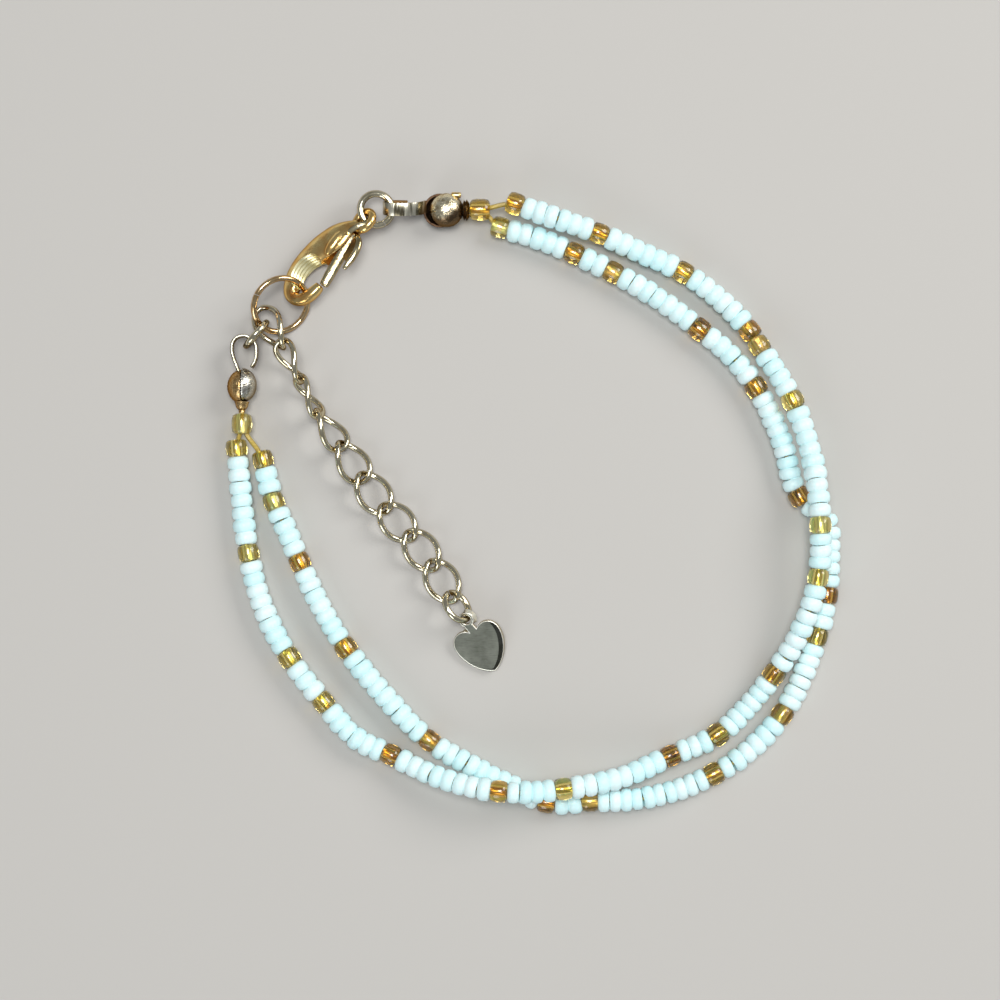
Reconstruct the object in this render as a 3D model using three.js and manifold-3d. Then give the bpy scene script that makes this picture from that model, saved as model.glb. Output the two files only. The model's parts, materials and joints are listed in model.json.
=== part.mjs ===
// A two-strand seed bead bracelet lying in a loop, with a lobster clasp and an extension chain.
// Millimetres, +Z up. Lengths and places are real sizes.

import * as THREE from 'three';
import { mergeVertices } from 'three/addons/utils/BufferGeometryUtils.js';
import Module from 'manifold-3d';

const wasm = await Module();
wasm.setup();

// Driving sizes

const BEAD_DIAMETER = 2.3;
const AMBER_DIAMETER = 2.2;
const END_BEAD_LENGTH = 2.0;
const BEAD_HOLE_DIAMETER = 0.9;
const THREAD_DIAMETER = 0.5;
const FINE_WIRE = 0.5;          // chain links and the fastening ring
const RING_WIRE = 0.56;         // the small jump rings
const TOUCHING_GAP = 0.3;       // left between pieces that touch on the real bracelet

const STRAND_SIDES = 8;
const STRAND_STEPS = 56;
const WIRE_SIDES = 6;
const LOOP_SEGMENTS = 16;

// The layout is measured from a point in the wrist hollow; this moves the middle of the
// whole bracelet's outline on to the origin.
const LAYOUT_SHIFT = [-0.144, 0.064, -0.014];

// Routes of the strands, from the clasp's end to the ring's end, through the middle of the
// beads. A row is [x, y, z, bead]: "amber" marks a row where an amber bead sits, and the
// white beads lie evenly between them.
const STRAND_A_ROUTE = [
  [-1.6, 29.6, 2.2, 'amber'],
  [2.6, 28.1, 2.4, ''],
  [6.8, 26.7, 1.8, 'amber'],
  [11.1, 24.8, 1.4, ''],
  [15.2, 22.9, 1.2, 'amber'],
  [18.7, 20.3, 1.2, ''],
  [21.8, 17.0, 1.4, 'amber'],
  [22.7, 15.5, 1.75, 'amber'],
  [25.9, 10.0, 2.4, 'amber'],
  [27.7, 4.6, 2.7, ''],
  [28.2, 1.0, 3.6, ''],
  [28.4, -2.4, 3.9, 'amber'],
  [28.2, -7.5, 3.6, 'amber'],
  [26.7, -12.4, 3.1, ''],
  [24.0, -17.1, 1.85, 'amber'],
  [21.5, -20.3, 1.25, ''],
  [18.5, -23.1, 1.2, 'amber'],
  [13.8, -25.2, 1.3, 'amber'],
  [8.6, -27.3, 2.6, ''],
  [3.1, -28.3, 3.5, 'amber'],
  [-0.6, -28.6, 3.9, ''],
  [-3.2, -28.5, 3.8, 'amber'],
  [-8.6, -27.4, 2.7, ''],
  [-13.9, -25.1, 1.35, 'amber'],
  [-17.3, -23.5, 1.2, ''],
  [-20.6, -19.9, 1.2, 'amber'],
  [-24.0, -15.5, 1.2, 'amber'],
  [-26.7, -10.3, 1.2, ''],
  [-28.1, -5.1, 1.2, 'amber'],
  [-28.8, 0.1, 1.2, ''],
  [-29.3, 5.3, 1.3, 'amber'],
];
const STRAND_B_ROUTE = [
  [-3.1, 27.4, 1.2, 'amber'],
  [0.7, 26.3, 1.2, ''],
  [4.3, 24.8, 1.2, 'amber'],
  [8.2, 22.9, 1.2, 'amber'],
  [12.5, 20.4, 1.2, ''],
  [16.8, 17.2, 1.2, 'amber'],
  [19.9, 14.6, 1.2, ''],
  [22.4, 11.4, 1.2, 'amber'],
  [24.9, 6.2, 1.2, ''],
  [26.7, 0.5, 1.2, 'amber'],
  [29.3, -1.8, 1.2, ''],
  [29.6, -5.5, 1.2, ''],
  [29.4, -9.3, 1.2, 'amber'],
  [28.4, -13.4, 1.2, 'amber'],
  [26.9, -17.4, 1.2, ''],
  [24.9, -21.1, 1.2, 'amber'],
  [21.8, -24.5, 1.2, ''],
  [18.1, -27.0, 1.2, 'amber'],
  [12.1, -29.2, 1.2, ''],
  [5.8, -29.7, 1.2, 'amber'],
  [1.5, -29.8, 1.2, 'amber'],
  [-1.7, -28.3, 1.2, ''],
  [-6.1, -26.1, 1.2, ''],
  [-10.1, -23.7, 1.2, 'amber'],
  [-14.5, -19.3, 1.2, ''],
  [-18.4, -14.5, 1.2, 'amber'],
  [-20.9, -10.4, 1.2, ''],
  [-23.0, -6.0, 1.2, 'amber'],
  [-24.2, -3.1, 1.2, ''],
  [-25.6, 0.0, 1.2, 'amber'],
  [-26.7, 4.2, 1.2, 'amber'],
];

// Bead tips: the clam-shell knot covers. "heading" is the direction from the ball to the ring
// that its strap holds, in degrees from +X, and "turn" rolls the strap about that direction.
const BALL_DIAMETER = 3.4;
const STRAP_WIDTH = 1.3;
const STRAP_THICKNESS = 0.32;
const BEAD_TIPS = {
  clasp: {
    ball: [-8.75, 29.0, 1.8], heading: 180, turn: 90,
    strap: [[1.2, 0.75], [2.4, 1.15], [3.6, 1.25], [4.7, 1.25], [5.55, 1.0], [5.9, 0.4],
      [5.55, -0.25], [4.7, -0.45], [3.7, -0.3]],
  },
  ring: {
    ball: [-28.75, 11.4, 1.8], heading: 90, turn: 0,
    strap: [[1.2, 0.2], [1.9, 0.45], [2.8, 0.8], [3.8, 1.0], [4.6, 0.8], [5.05, 0.1],
      [4.95, -0.6], [4.4, -1.25], [3.3, -1.45], [2.4, -1.25], [1.9, -0.95]],
  },
};

// The end beads sit between the bead tips and the first beads of the strands.
const END_BEADS = {
  clasp: { centre: [-5.1, 29.1, 1.7], heading: 0 },
  ring: { centre: [-28.75, 7.7, 1.7], heading: 90 },
};
// Where each strand's thread ends, just short of the end beads.
const THREAD_ENDS = {
  strand_a: [[-3.7, 29.4, 1.9], [-29.0, 6.35, 1.6]],
  strand_b: [[-3.6, 28.6, 1.5], [-28.2, 6.15, 1.6]],
};

// Plain rings: centre, outer diameter, wire and the direction their axis points.
const RINGS = {
  clasp_jump_ring: { centre: [-15.4, 29.0, 2.52], diameter: 3.85, wire: RING_WIRE, axis: [0.17, 0, 1] },
  fastening_ring: { centre: [-24.9, 19.52, 2.13], diameter: 6.3, wire: FINE_WIRE, axis: [0.5, -0.53, 1] },
  connector_ring: { centre: [-27.33, 16.63, 1.85], diameter: 3.7, wire: RING_WIRE, axis: [0.74, -0.64, -0.1] },
};

// Extension chain: the joints between the links, and how far each link is rolled about the
// chain's own line. The links are twisted, so a link with no roll lies flat.
const LINK_LENGTH = 5.2;
const LINK_WIDTH = 3.7;
const LINK_TWIST = 45;
const CHAIN_JOINTS = [
  [-26.77, 18.7, 1.87],
  [-24.86, 15.7, 2.26],
  [-22.98, 12.05, 2.06],
  [-21.2, 8.8, 1.91],
  [-18.9, 5.5, 1.63],
  [-16.8, 2.4, 1.25],
  [-14.6, -0.7, 1.05],
  [-12.0, -3.4, 0.95],
  [-9.8, -6.3, 0.95],
  [-7.9, -9.5, 1.05],
];
const LINK_ROLLS = [43, 70, 90, 122, 152, 172, 180, 180, 180];

// Drop ring and heart. The ring leans on the last link, and the heart's eye hangs in it.
const DROP_RING = { centre: [-7.36, -10.43, 1.62], diameter: 3.8, wire: RING_WIRE, heading: -58, dip: -4.5, roll: -54 };
const HEART = { eye: [-6.39, -11.69, 1.52], heading: -60.4, dip: 9.6, roll: 16, thickness: 0.45 };
const HEART_LENGTH = 5.9;       // from the middle of the eye to the tip
const HEART_HALF_WIDTH = 2.55;
const EYE_RADIUS = 1.0;
const EYE_HOLE_RADIUS = 0.6;

// Clasp, in its own frame: the origin is on the lever's pin, +X runs to the eye, +Y to the
// flank. It lies rolled on its flank, with the hook's tip raised over the fastening ring.
const CLASP_PIN = [-17.95, 26.16, 2.66];
const CLASP_HEADING = 54.15;
const CLASP_ROLL = -31;
const CLASP_THICKNESS = 2.4;
const CLASP_BEVEL = 0.3;
const CLASP_OUTLINE = [
  [1.2, 0.5], [0.6, 1.3], [-0.4, 2.1], [-1.6, 2.8], [-3.1, 3.35], [-4.6, 3.55], [-6.0, 3.5],
  [-7.3, 3.0], [-8.15, 2.2], [-8.5, 1.2], [-8.3, 0.35], [-7.7, -0.2], [-6.8, -0.5],
  [-5.9, -0.65], [-5.65, -0.35], [-5.9, 0.05], [-6.6, 0.35], [-7.15, 0.75], [-7.3, 1.2],
  [-7.1, 1.65], [-6.6, 1.9], [-5.8, 1.85], [-5.0, 1.45], [-4.2, 0.95], [-3.3, 0.6],
  [-2.2, 0.35], [-1.2, -0.2], [-0.6, -0.75], [0.2, -0.85], [1.0, -0.5], [1.5, 0.0],
];
// Half the clasp's thickness along its length, from the hook to the eye.
const CLASP_HALF_THICKNESS = [[-8.8, 0.42], [-6.5, 0.48], [-5.0, 0.85], [-3.4, 1.05], [0.6, 1.15],
  [1.8, 0.6]];
const CLASP_EYE = { centre: [2.1, -0.1, 0], radius: 0.88, wire: 0.7 };
const LEVER_THICKNESS = 0.7;
const LEVER_SLOT_HEIGHT = LEVER_THICKNESS + 2 * TOUCHING_GAP;
const LEVER_SLOT = [
  [1.12, -1.5], [1.12, 0.3], [0.7, 0.95], [0, 1.15], [-1.5, 1.15], [-3.1, 1.5], [-4.4, 1.8],
  [-5.5, 1.9], [-5.5, -1.5],
];
const LEVER_PIN_RADIUS = 0.2;
const LEVER_OUTLINE = [
  [-0.5, 0.6], [-1.5, 0.32], [-5.25, -0.2], [-5.35, -0.75], [-3.4, -0.75], [-1.6, -0.6],
  [-1.9, -0.95], [-3.0, -1.2], [-3.15, -1.55], [-2.2, -1.75], [-1.0, -1.6], [-0.1, -1.25],
  [0.6, -0.6], [0.75, 0], [0.5, 0.6], [0, 0.78],
];

// Materials

const metal = (name, color, roughness) =>
  new THREE.MeshStandardMaterial({ name, color, roughness, metalness: 1 });
const MATERIALS = {
  paleGold: metal('pale_gold', 0xd9c48c, 0.22),
  claspGold: metal('clasp_gold', 0xd8ac4c, 0.2),
  whiteGlass: new THREE.MeshStandardMaterial({ name: 'white_glass', color: 0xf2f7f6, roughness: 0.45 }),
  amberGlass: new THREE.MeshStandardMaterial({ name: 'amber_glass', color: 0xc48a2a, roughness: 0.15 }),
};

// Solids: joining and cutting

// A closed geometry as a solid, with its shared corners merged.
function solidOf(geometry) {
  const bare = geometry.clone();
  bare.deleteAttribute('normal');
  bare.deleteAttribute('uv');
  const merged = mergeVertices(bare, 1e-4);
  return new wasm.Manifold(new wasm.Mesh({
    numProp: 3,
    vertProperties: new Float32Array(merged.attributes.position.array),
    triVerts: new Uint32Array(merged.index.array),
  }));
}

// A solid back as a geometry with flat shading.
function geometryOf(solid) {
  const mesh = solid.getMesh();
  const geometry = new THREE.BufferGeometry();
  geometry.setAttribute('position', new THREE.BufferAttribute(mesh.vertProperties, 3));
  geometry.setIndex(new THREE.BufferAttribute(mesh.triVerts, 1));
  geometry.computeVertexNormals();
  return geometry;
}

function named(name, geometry, material) {
  const mesh = new THREE.Mesh(geometry, material);
  mesh.name = name;
  return mesh;
}

const curveThrough = (rows) =>
  new THREE.CatmullRomCurve3(rows.map(([x, y, z]) => new THREE.Vector3(x, y, z)), false, 'centripetal');

// A round rod along a curve. A flat of its section faces down on a level route.
function rodAlong(curve, radius, sides, steps) {
  const section = new THREE.Shape();
  for (let side = 0; side < sides; side += 1) {
    const angle = (side + 0.5) * 2 * Math.PI / sides;
    const corner = [radius * Math.cos(angle), radius * Math.sin(angle)];
    if (side === 0) section.moveTo(...corner);
    else section.lineTo(...corner);
  }
  section.closePath();
  return new THREE.ExtrudeGeometry(section, { steps, extrudePath: curve, bevelEnabled: false });
}

// A closed loop of round wire. "centreline" gives a place for each angle round the loop.
function wireLoop(centreline, wire, sides = WIRE_SIDES, segments = LOOP_SEGMENTS) {
  const geometry = new THREE.TorusGeometry(1, wire / 2, sides, segments);
  const positions = geometry.attributes.position;
  const place = new THREE.Vector3();
  const along = new THREE.Vector3();
  const outward = new THREE.Vector3();
  const across = new THREE.Vector3();
  const SMALL_ANGLE = 1e-3;
  for (let side = 0; side <= sides; side += 1) {
    for (let segment = 0; segment <= segments; segment += 1) {
      const angle = (segment % segments) / segments * 2 * Math.PI;
      const roundWire = (side % sides) / sides * 2 * Math.PI;
      place.copy(centreline(angle));
      along.copy(centreline(angle + SMALL_ANGLE)).sub(centreline(angle - SMALL_ANGLE)).normalize();
      outward.copy(place).addScaledVector(along, -place.dot(along)).normalize();
      across.crossVectors(outward, along);
      place.addScaledVector(outward, wire / 2 * Math.cos(roundWire));
      place.addScaledVector(across, wire / 2 * Math.sin(roundWire));
      positions.setXYZ(side * (segments + 1) + segment, place.x, place.y, place.z);
    }
  }
  geometry.computeVertexNormals();
  return geometry;
}

const ringGeometry = (diameter, wire) => {
  const radius = (diameter - wire) / 2;
  return wireLoop((angle) => new THREE.Vector3(radius * Math.cos(angle), radius * Math.sin(angle), 0), wire);
};

// Turns an object so that its +X runs along a heading, dips below the level and rolls.
function aim(object, heading, dip = 0, roll = 0) {
  object.rotation.order = 'ZYX';
  object.rotation.set(
    THREE.MathUtils.degToRad(roll),
    THREE.MathUtils.degToRad(dip),
    THREE.MathUtils.degToRad(heading),
  );
}

// Strands: a tube for the string of beads, with the bare thread at both ends.
function strand(name, rows) {
  const route = curveThrough(rows);
  const beadRadius = BEAD_DIAMETER / 2 / Math.cos(Math.PI / STRAND_SIDES);
  let solid = solidOf(rodAlong(route, beadRadius, STRAND_SIDES, STRAND_STEPS));
  const ends = [[rows[0], rows[1], THREAD_ENDS[name][0]], [rows.at(-1), rows.at(-2), THREAD_ENDS[name][1]]];
  for (const [first, second, threadEnd] of ends) {
    const inside = new THREE.Vector3(...first.slice(0, 3)).lerp(new THREE.Vector3(...second.slice(0, 3)), 0.2);
    const thread = new THREE.LineCurve3(inside, new THREE.Vector3(...threadEnd));
    solid = solid.add(solidOf(rodAlong(thread, THREAD_DIAMETER / 2, WIRE_SIDES, 1)));
  }
  return named(name, geometryOf(solid), MATERIALS.whiteGlass);
}

// The amber bead that both threads pass through: a drilled barrel with rounded shoulders.
function endBead(name, { centre, heading }) {
  const outer = AMBER_DIAMETER / 2;
  const hole = BEAD_HOLE_DIAMETER / 2;
  const half = END_BEAD_LENGTH / 2;
  const profile = [[hole, -half], [outer * 0.75, -half], [outer, -half * 0.6], [outer, half * 0.6],
    [outer * 0.75, half], [hole, half], [hole, -half]];
  const geometry = new THREE.LatheGeometry(profile.map(([x, y]) => new THREE.Vector2(x, y)), 12);
  geometry.rotateZ(-Math.PI / 2);
  const bead = named(name, geometry, MATERIALS.amberGlass);
  bead.position.set(...centre);
  aim(bead, heading);
  return bead;
}

// A flat strip of metal that follows a bent line in the XY plane.
function stripGeometry(line, thickness, width) {
  const curve = new THREE.SplineCurve(line.map(([x, y]) => new THREE.Vector2(x, y)));
  const count = 2 * line.length;
  const left = [];
  const right = [];
  for (let step = 0; step <= count; step += 1) {
    const place = curve.getPointAt(step / count);
    const along = curve.getTangentAt(step / count);
    const side = new THREE.Vector2(-along.y, along.x).multiplyScalar(thickness / 2);
    left.push(place.clone().add(side));
    right.unshift(place.clone().sub(side));
  }
  const geometry = new THREE.ExtrudeGeometry(new THREE.Shape([...left, ...right]),
    { depth: width, bevelEnabled: false });
  geometry.translate(0, 0, -width / 2);
  return geometry;
}

// A knot cover: a ball with a neck for the thread, and a strap bent into a loop.
function beadTip(name, { ball, heading, turn, strap }) {
  const radius = BALL_DIAMETER / 2;
  const NECK_RADIUS = 0.5;
  const NECK_END = 2.35;
  const profile = [new THREE.Vector2(0, radius)];
  for (let step = 1; step < 7; step += 1) {
    const angle = step / 8 * Math.PI;
    profile.push(new THREE.Vector2(radius * Math.sin(angle), radius * Math.cos(angle)));
  }
  profile.push(new THREE.Vector2(NECK_RADIUS, -radius * 0.95));
  profile.push(new THREE.Vector2(NECK_RADIUS, -NECK_END));
  profile.push(new THREE.Vector2(0, -NECK_END));
  const geometry = new THREE.LatheGeometry(profile.reverse(), 12);
  geometry.rotateZ(-Math.PI / 2);
  const shell = solidOf(geometry);
  const strapLoop = solidOf(stripGeometry(strap, STRAP_THICKNESS, STRAP_WIDTH));
  const tip = named(name, geometryOf(shell.add(strapLoop)), MATERIALS.paleGold);
  tip.position.set(...ball);
  aim(tip, heading, 0, turn);
  return tip;
}

// A closed jump ring.
function jumpRing(name, { centre, diameter, wire, axis }) {
  const ring = named(name, ringGeometry(diameter, wire), MATERIALS.paleGold);
  ring.position.set(...centre);
  ring.quaternion.setFromUnitVectors(new THREE.Vector3(0, 0, 1), new THREE.Vector3(...axis).normalize());
  return ring;
}

// One twisted curb link between two joints of the chain.
function chainLink(name, start, end, roll) {
  const from = new THREE.Vector3(...start);
  const to = new THREE.Vector3(...end);
  const halfLength = (LINK_LENGTH - FINE_WIRE) / 2;
  const halfWidth = (LINK_WIDTH - FINE_WIRE) / 2;
  const twist = THREE.MathUtils.degToRad(LINK_TWIST);
  const centreline = (angle) => {
    const turned = twist * Math.cos(angle);
    const side = halfWidth * Math.sin(angle);
    return new THREE.Vector3(halfLength * Math.cos(angle), side * Math.cos(turned), side * Math.sin(turned));
  };
  const link = named(name, wireLoop(centreline, FINE_WIRE), MATERIALS.paleGold);
  const line = to.clone().sub(from);
  link.position.copy(from).add(to).multiplyScalar(0.5);
  aim(
    link,
    THREE.MathUtils.radToDeg(Math.atan2(line.y, line.x)),
    THREE.MathUtils.radToDeg(-Math.atan2(line.z, Math.hypot(line.x, line.y))),
    roll,
  );
  return link;
}

function dropRing() {
  const { centre, diameter, wire, heading, dip, roll } = DROP_RING;
  const ring = named('drop_ring', ringGeometry(diameter, wire), MATERIALS.paleGold);
  ring.position.set(...centre);
  aim(ring, heading, dip, roll);
  return ring;
}

// The flat heart with its eye: one plate, lying with +X from the eye to the tip.
function heartDrop() {
  const NECK_HALF_WIDTH = 0.45;
  const neckReach = Math.sqrt(EYE_RADIUS ** 2 - NECK_HALF_WIDTH ** 2);
  const neckAngle = Math.atan2(NECK_HALF_WIDTH, neckReach);
  const notch = 1.2;
  const outline = new THREE.Shape();
  outline.moveTo(notch, -NECK_HALF_WIDTH);
  outline.absarc(0, 0, EYE_RADIUS, -neckAngle, neckAngle, true);
  outline.lineTo(notch, NECK_HALF_WIDTH);
  outline.bezierCurveTo(0.6, 1.1, 0.8, HEART_HALF_WIDTH, 2.3, HEART_HALF_WIDTH);
  outline.bezierCurveTo(3.8, HEART_HALF_WIDTH, 5.5, 1.3, HEART_LENGTH, 0);
  outline.bezierCurveTo(5.5, -1.3, 3.8, -HEART_HALF_WIDTH, 2.3, -HEART_HALF_WIDTH);
  outline.bezierCurveTo(0.8, -HEART_HALF_WIDTH, 0.6, -1.1, notch, -NECK_HALF_WIDTH);
  const corners = outline.getPoints(8).slice(1).map(({ x, y }) => [x, y]);
  const plate = slab(corners, HEART.thickness).subtract(pinRod(EYE_HOLE_RADIUS, 2, 16));
  const heart = named('heart_drop', geometryOf(plate), MATERIALS.paleGold);
  heart.position.set(...HEART.eye);
  aim(heart, HEART.heading, HEART.dip, HEART.roll);
  return heart;
}

const shapeThrough = (corners) => new THREE.Shape(corners.map(([x, y]) => new THREE.Vector2(x, y)));

// A flat slab of an outline, centred on the XY plane.
function slab(corners, thickness, bevel = 0) {
  const geometry = new THREE.ExtrudeGeometry(shapeThrough(corners), {
    depth: thickness - 2 * bevel,
    bevelEnabled: bevel > 0,
    bevelThickness: bevel,
    bevelSize: bevel,
    bevelOffset: -bevel,
    bevelSegments: 2,
  });
  geometry.translate(0, 0, -(thickness - 2 * bevel) / 2);
  return solidOf(geometry);
}

function pinRod(radius, height, sides = 10) {
  const geometry = new THREE.CylinderGeometry(radius, radius, height, sides);
  geometry.rotateX(Math.PI / 2);
  return solidOf(geometry);
}

// The clasp's body: the claw with its eye, slotted for the lever, with the lever's pin across.
function claspBody() {
  const upper = CLASP_HALF_THICKNESS;
  const lower = [...CLASP_HALF_THICKNESS].reverse().map(([x, half]) => [x, -half]);
  const sideView = new THREE.ExtrudeGeometry(shapeThrough([...upper, ...lower]),
    { depth: 10, bevelEnabled: false });
  sideView.translate(0, 0, -5);
  sideView.rotateX(Math.PI / 2);
  const { centre, radius, wire } = CLASP_EYE;
  const eyeRing = wireLoop((angle) =>
    new THREE.Vector3(radius * Math.cos(angle), 0, radius * Math.sin(angle)), wire, 8, 12);
  eyeRing.rotateX(THREE.MathUtils.degToRad(-CLASP_ROLL));
  eyeRing.translate(...centre);
  return slab(CLASP_OUTLINE, CLASP_THICKNESS, CLASP_BEVEL)
    .intersect(solidOf(sideView))
    .add(solidOf(eyeRing))
    .subtract(slab(LEVER_SLOT, LEVER_SLOT_HEIGHT))
    .add(pinRod(LEVER_PIN_RADIUS, LEVER_SLOT_HEIGHT + TOUCHING_GAP));
}

// The lever: an arm that closes the hook and a thumb tab beside it, turning on the pin.
function claspLever() {
  return slab(LEVER_OUTLINE, LEVER_THICKNESS)
    .subtract(pinRod(LEVER_PIN_RADIUS + TOUCHING_GAP, CLASP_THICKNESS));
}

function clasp() {
  const group = new THREE.Group();
  group.add(named('clasp_body', geometryOf(claspBody()), MATERIALS.claspGold));
  group.add(named('clasp_lever', geometryOf(claspLever()), MATERIALS.claspGold));
  group.position.set(...CLASP_PIN);
  aim(group, CLASP_HEADING, 0, CLASP_ROLL);
  return group;
}

// Assembly

const bracelet = new THREE.Group();
bracelet.position.set(...LAYOUT_SHIFT);
bracelet.add(strand('strand_a', STRAND_A_ROUTE));
bracelet.add(strand('strand_b', STRAND_B_ROUTE));
for (const [end, place] of Object.entries(END_BEADS)) bracelet.add(endBead(`end_bead_${end}`, place));
for (const [end, tip] of Object.entries(BEAD_TIPS)) bracelet.add(beadTip(`bead_tip_${end}`, tip));
for (const [name, ring] of Object.entries(RINGS)) bracelet.add(jumpRing(name, ring));
LINK_ROLLS.forEach((roll, index) => {
  bracelet.add(chainLink(`chain_link_${index + 1}`, CHAIN_JOINTS[index], CHAIN_JOINTS[index + 1], roll));
});
bracelet.add(dropRing());
bracelet.add(heartDrop());
bracelet.add(clasp());
bracelet.updateMatrixWorld(true);

export default bracelet;
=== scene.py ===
# %% [markdown]
# # A two-strand bracelet of glass seed beads
#
# The bracelet lies on a table in a loose loop. Two strings of chalk white beads carry amber
# beads here and there. Both strings end in one amber bead and a metal knot cover. A lobster
# clasp hooks into a ring, and a short chain with a small heart hangs from the same ring.
#
# The plain CAD solids give every size and place. This file builds the looks around them.

# %% Tools
import json
import math
import random

import bpy
from mathutils import Matrix, Vector


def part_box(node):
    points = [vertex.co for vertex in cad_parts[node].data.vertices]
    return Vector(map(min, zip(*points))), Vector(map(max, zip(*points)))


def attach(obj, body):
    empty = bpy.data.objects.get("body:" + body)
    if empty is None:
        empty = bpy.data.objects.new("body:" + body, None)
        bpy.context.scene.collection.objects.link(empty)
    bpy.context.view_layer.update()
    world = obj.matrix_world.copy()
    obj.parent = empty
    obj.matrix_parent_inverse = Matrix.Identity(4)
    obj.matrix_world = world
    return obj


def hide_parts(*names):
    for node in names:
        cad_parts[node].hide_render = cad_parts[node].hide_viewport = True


MM = 0.001
random.seed(41)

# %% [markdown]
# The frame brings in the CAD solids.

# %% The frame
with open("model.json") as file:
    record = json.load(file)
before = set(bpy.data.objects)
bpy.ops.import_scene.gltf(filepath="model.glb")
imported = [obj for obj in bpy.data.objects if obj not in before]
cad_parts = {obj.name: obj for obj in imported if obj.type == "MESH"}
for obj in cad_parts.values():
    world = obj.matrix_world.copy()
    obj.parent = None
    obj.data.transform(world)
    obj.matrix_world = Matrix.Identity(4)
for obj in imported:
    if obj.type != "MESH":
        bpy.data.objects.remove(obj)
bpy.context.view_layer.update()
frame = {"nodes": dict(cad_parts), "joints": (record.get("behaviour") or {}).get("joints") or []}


# %% [markdown]
# ## A bench to work on
#
# Each piece is modelled in millimetres at the origin, as on a bench, where its numbers are
# easy to read. Then it is moved to its place on the bracelet and made metres in one step.
# The move goes into the mesh, so the object itself stays at the origin, unturned and
# unscaled. That keeps patterns that read object coordinates in place.

# %% Bench helpers
def only(*pieces):
    """Selects these pieces alone. Operators act on all that is selected."""
    bpy.ops.object.select_all(action="DESELECT")
    for piece in pieces:
        piece.select_set(True)
    bpy.context.view_layer.objects.active = pieces[0]


def edit(piece):
    """Opens a piece in edit mode with all of its corners selected."""
    only(piece)
    bpy.ops.object.mode_set(mode="EDIT")
    bpy.ops.mesh.select_all(action="SELECT")


def done():
    """Closes edit mode."""
    bpy.ops.object.mode_set(mode="OBJECT")


def tidy(piece, gap=1e-4):
    """Merges doubled corners and turns every face outwards."""
    edit(piece)
    bpy.ops.mesh.remove_doubles(threshold=gap)
    bpy.ops.mesh.normals_make_consistent(inside=False)
    done()


def built(name, corners, faces, edges=()):
    """A new piece from its corners and faces."""
    mesh = bpy.data.meshes.new(name)
    mesh.from_pydata(corners, edges, faces)
    piece = bpy.data.objects.new(name, mesh)
    bpy.context.collection.objects.link(piece)
    return piece


def modifier(piece, kind, **settings):
    """Adds one modifier and applies it at once."""
    only(piece)
    added = piece.modifiers.new(kind.title(), kind)
    for setting, value in settings.items():
        setattr(added, setting, value)
    bpy.ops.object.modifier_apply(modifier=added.name)


def smooth(piece, angle=40):
    """Smooth shading that keeps edges sharper than the angle."""
    only(piece)
    bpy.ops.object.shade_smooth_by_angle(angle=math.radians(angle))


def rounded(piece, width, segments=2, angle=50):
    """Rounds the edges that are sharper than the angle."""
    modifier(
        piece, "BEVEL", width=width, segments=segments, limit_method="ANGLE",
        angle_limit=math.radians(angle),
    )


def combined(piece, other, finish, operation):
    """Adds another piece or cuts it away. The new faces keep the other piece's finish."""
    other.data.materials.append(finish)
    modifier(
        piece, "BOOLEAN", object=other, operation=operation, solver="EXACT",
        material_mode="TRANSFER",
    )
    bpy.data.objects.remove(other)


def settled(piece, place=Matrix.Identity(4)):
    """Puts an object's own place, and then another, into its mesh."""
    piece.data.transform(place @ piece.matrix_world)
    piece.matrix_world = Matrix.Identity(4)
    piece.data.update()
    return piece


def from_bench(piece, place=Matrix.Identity(4)):
    """Moves a piece from the bench to its place and turns millimetres into metres."""
    return settled(piece, Matrix.Scale(MM, 4) @ place)


def bench_copy(node, name):
    """A copy of a CAD node on the bench, in millimetres, with its doubled corners merged."""
    piece = bpy.data.objects.new(name, frame["nodes"][node].data.copy())
    bpy.context.collection.objects.link(piece)
    piece.data.transform(Matrix.Scale(1 / MM, 4))
    piece.data.materials.clear()
    tidy(piece)
    return piece


def frame_centre(node):
    """The middle of a CAD node's box, in millimetres."""
    low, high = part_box(node)
    return (low + high) / 2 / MM


def joined(name, pieces):
    """Joins pieces into one object."""
    only(*pieces)
    if len(pieces) > 1:
        bpy.ops.object.join()
    pieces[0].name = name
    return pieces[0]


def finish_piece(piece, finish, nodes=(), body="bracelet"):
    """Gives a piece its finish, the body it moves with and the nodes it stands for."""
    if finish is not None:
        piece.data.materials.clear()
        piece.data.materials.append(finish)
    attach(piece, body)
    if nodes:
        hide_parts(*nodes)


# %% [markdown]
# ## Turned shapes
#
# Beads, cups and collars are round, so they are turned like wood on a lathe. A closed line
# of corners, each a radius and a height, is spun once round the Z axis.

# %% The lathe
def turned(name, profile, sides):
    """A closed profile of (radius, height) corners, spun round Z."""
    corners = [(radius, 0.0, height) for radius, height in profile]
    edges = [(i, (i + 1) % len(corners)) for i in range(len(corners))]
    piece = built(name, corners, [], edges)
    edit(piece)
    bpy.ops.mesh.spin(steps=sides, angle=math.tau, center=(0, 0, 0), axis=(0, 0, 1))
    done()
    tidy(piece)
    return piece


# %% [markdown]
# ## Shader maths
#
# A finish is a small set of nodes. Writing the sums as Python keeps them readable: a `Value`
# wraps one socket, and adding or multiplying it adds the Math node for that sum.

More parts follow.
